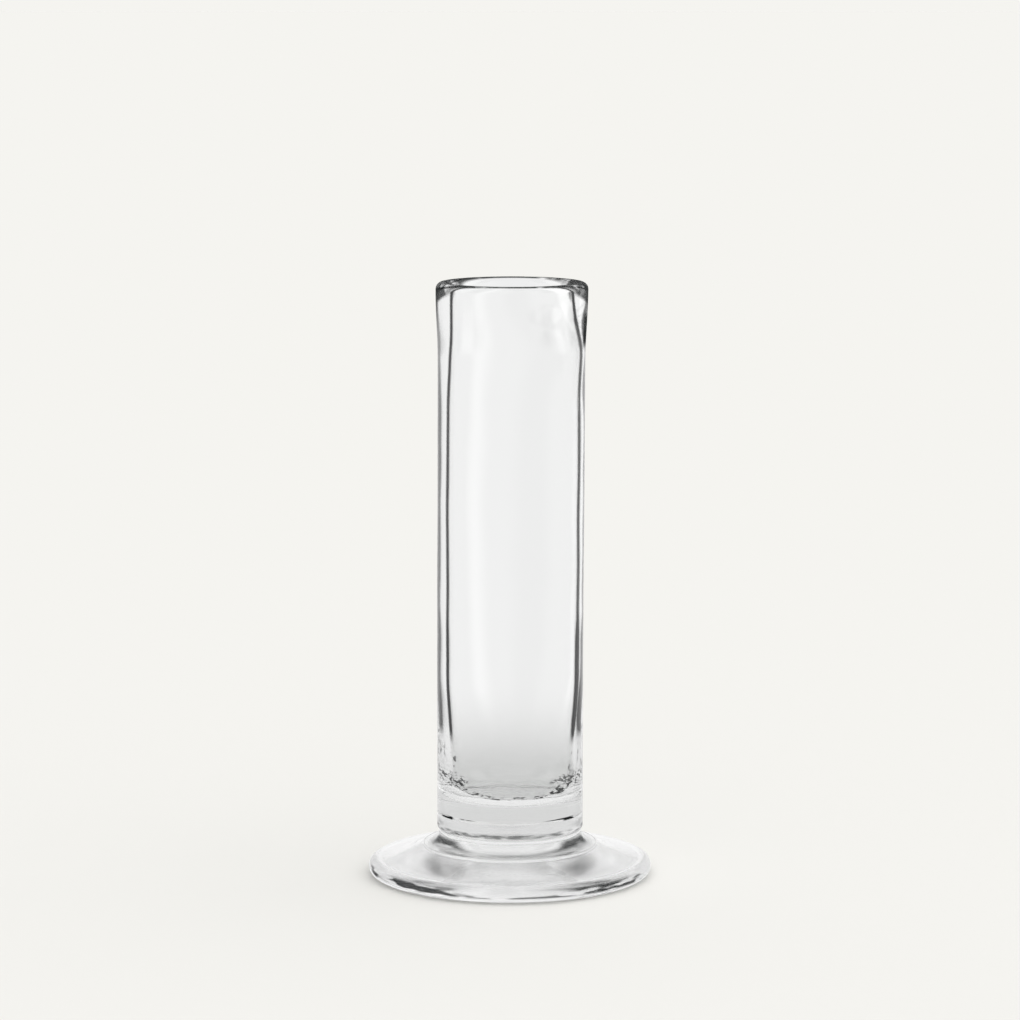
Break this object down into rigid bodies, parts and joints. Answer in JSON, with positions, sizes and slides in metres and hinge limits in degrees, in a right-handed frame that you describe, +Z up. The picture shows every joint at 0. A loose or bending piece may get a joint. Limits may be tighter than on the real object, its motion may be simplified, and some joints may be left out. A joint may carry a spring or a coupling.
{
  "type": "bud vase",
  "caption": "Clear glass bud vase: a thick-walled cylinder with a fire-polished lip and a solid heel, joined by a waisted collar to a sloping disc foot.",
  "frame": {"origin": "on the table, at the centre of the foot", "axes": "+Z up along the axis of the tube, towards the mouth; the vase is round, so +X and +Y are free"},
  "size_m": [0.095, 0.095, 0.2],
  "materials": {
    "clear_glass": "fire-polished, clear and colourless with a faint grey-green cast in the thick heel"
  },
  "bodies": {
    "root": {"tube": "clear_glass", "collar": "clear_glass", "foot": "clear_glass"}
  },
  "joints": []
}
